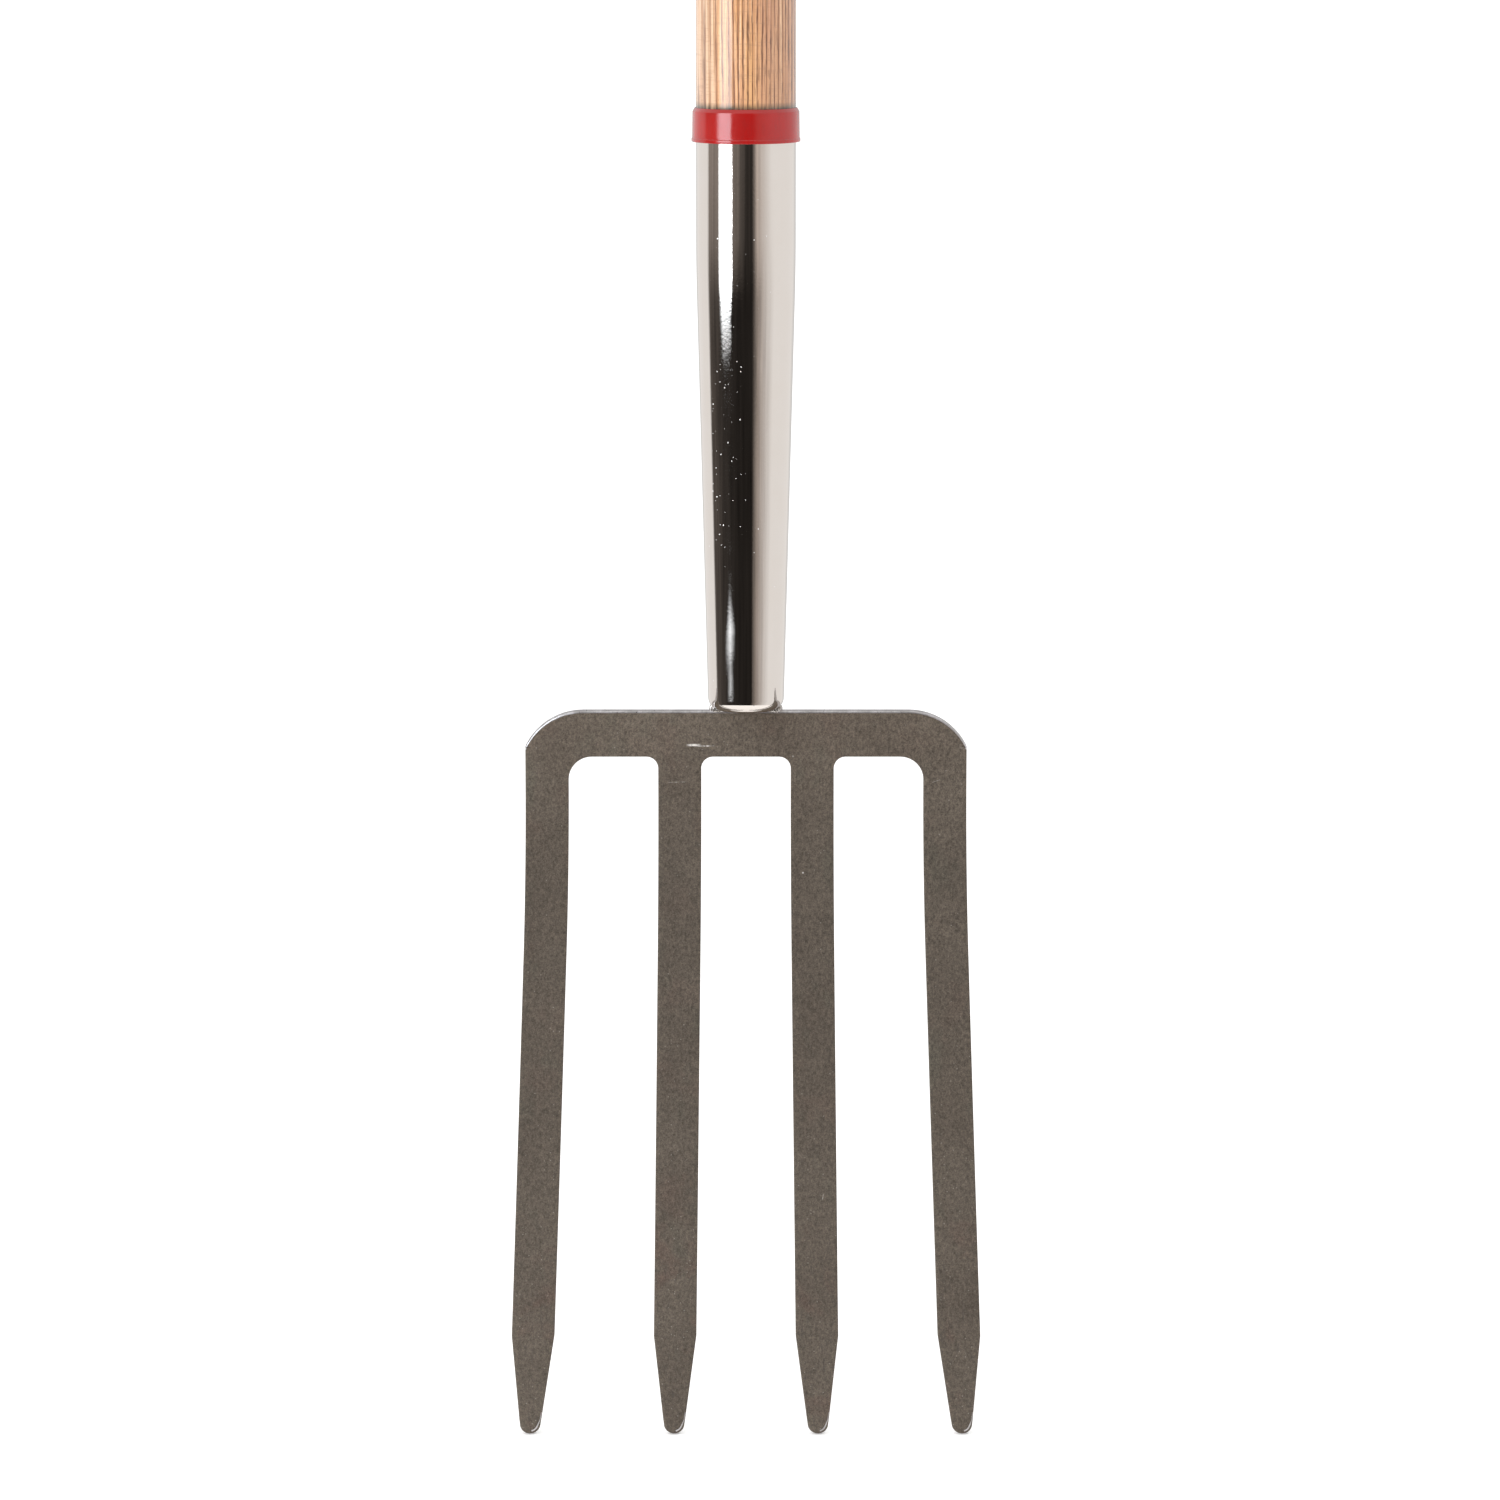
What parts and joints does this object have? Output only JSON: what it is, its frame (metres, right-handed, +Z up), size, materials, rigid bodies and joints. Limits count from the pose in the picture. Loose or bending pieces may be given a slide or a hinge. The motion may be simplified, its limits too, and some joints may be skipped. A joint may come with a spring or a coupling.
{
  "type": "digging fork",
  "caption": "Garden digging fork: flat steel head with pointed tines, tapered steel socket, collar, ash shaft and D-shaped grip.",
  "frame": {"origin": "on the shaft's axis, level with the tips of the tines", "axes": "+Z up along the shaft towards the grip, -Y out of the front of the fork, towards which the tines curve, +X to the right seen from the front"},
  "size_m": [0.1892, 0.0524, 1.09],
  "materials": {
    "plate_steel": "matt hot-rolled plate with a clear coat",
    "polished_steel": "mirror polished",
    "weld_steel": "bright weld bead",
    "collar_plastic": "satin red",
    "shaft_ash": "ash with clear lacquer",
    "grip_plastic": "black, fine moulded texture",
    "grip_rubber": "matt red soft moulding"
  },
  "bodies": {
    "root": {"fork_head": "plate_steel", "socket": "polished_steel", "socket_welds": "weld_steel", "collar": "collar_plastic", "shaft": "shaft_ash", "socket_rivet": "polished_steel", "grip_frame": "grip_plastic", "grip_sleeve": "grip_rubber", "hub_rivet": "polished_steel"}
  },
  "joints": []
}
